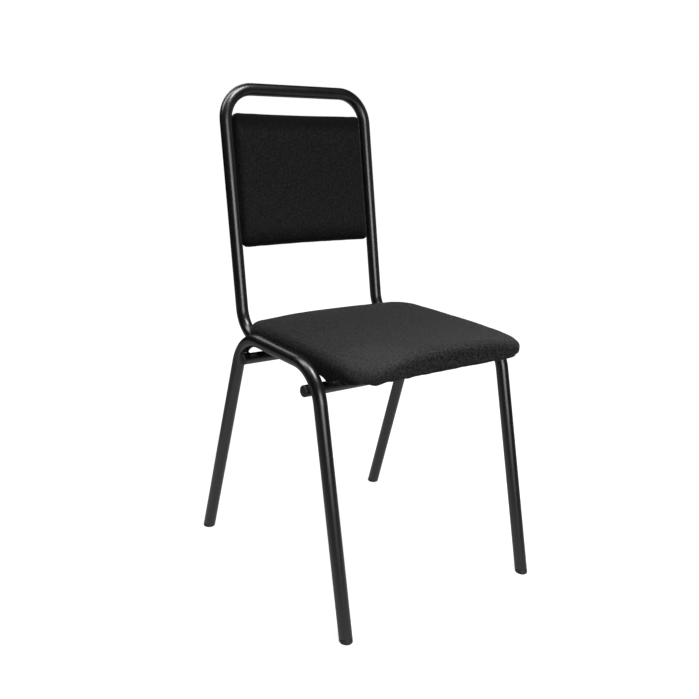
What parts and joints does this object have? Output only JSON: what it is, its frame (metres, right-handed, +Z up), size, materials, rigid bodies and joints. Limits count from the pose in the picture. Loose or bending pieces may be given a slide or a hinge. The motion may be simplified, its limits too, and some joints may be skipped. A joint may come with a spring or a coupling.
{
  "type": "stacking chair",
  "caption": "Stacking chair: a bent black steel tube frame with raked legs, a reclined tube back loop, a crowned seat pad and a flat back pad in black woven fabric.",
  "frame": {"origin": "on the floor, under the middle of the chair's overall box", "axes": "+X to the right seen from the front, -Y towards the front of the seat, +Z up"},
  "size_m": [0.425, 0.5148, 0.83],
  "materials": {
    "frame_paint": "semi-gloss black powder coat on steel tube",
    "upholstery": "matt black plain weave upholstery cloth",
    "plug_plastic": "fine grained black plastic",
    "plywood": "unfinished plywood",
    "foam": "open cell foam",
    "zinc_steel": "bright zinc plated steel"
  },
  "bodies": {
    "root": {"back_loop": "frame_paint", "left_leg_frame": "frame_paint", "right_leg_frame": "frame_paint", "front_cross_rail": "frame_paint", "rear_cross_rail": "frame_paint", "upper_left_back_tab": "frame_paint", "upper_right_back_tab": "frame_paint", "lower_left_back_tab": "frame_paint", "lower_right_back_tab": "frame_paint", "front_left_foot": "plug_plastic", "front_right_foot": "plug_plastic", "rear_left_foot": "plug_plastic", "rear_right_foot": "plug_plastic", "front_left_rail_cap": "plug_plastic", "front_right_rail_cap": "plug_plastic", "rear_left_rail_cap": "plug_plastic", "rear_right_rail_cap": "plug_plastic", "left_seat_rail_plug": "plug_plastic", "right_seat_rail_plug": "plug_plastic", "seat_cover": "upholstery", "seat_foam": "foam", "seat_board": "plywood", "seat_tee_nuts": "zinc_steel", "seat_screws": "zinc_steel", "back_cover": "upholstery", "back_foam": "foam", "back_board": "plywood", "back_tee_nuts": "zinc_steel", "back_screws": "zinc_steel", "back_lining": "upholstery"}
  },
  "joints": []
}
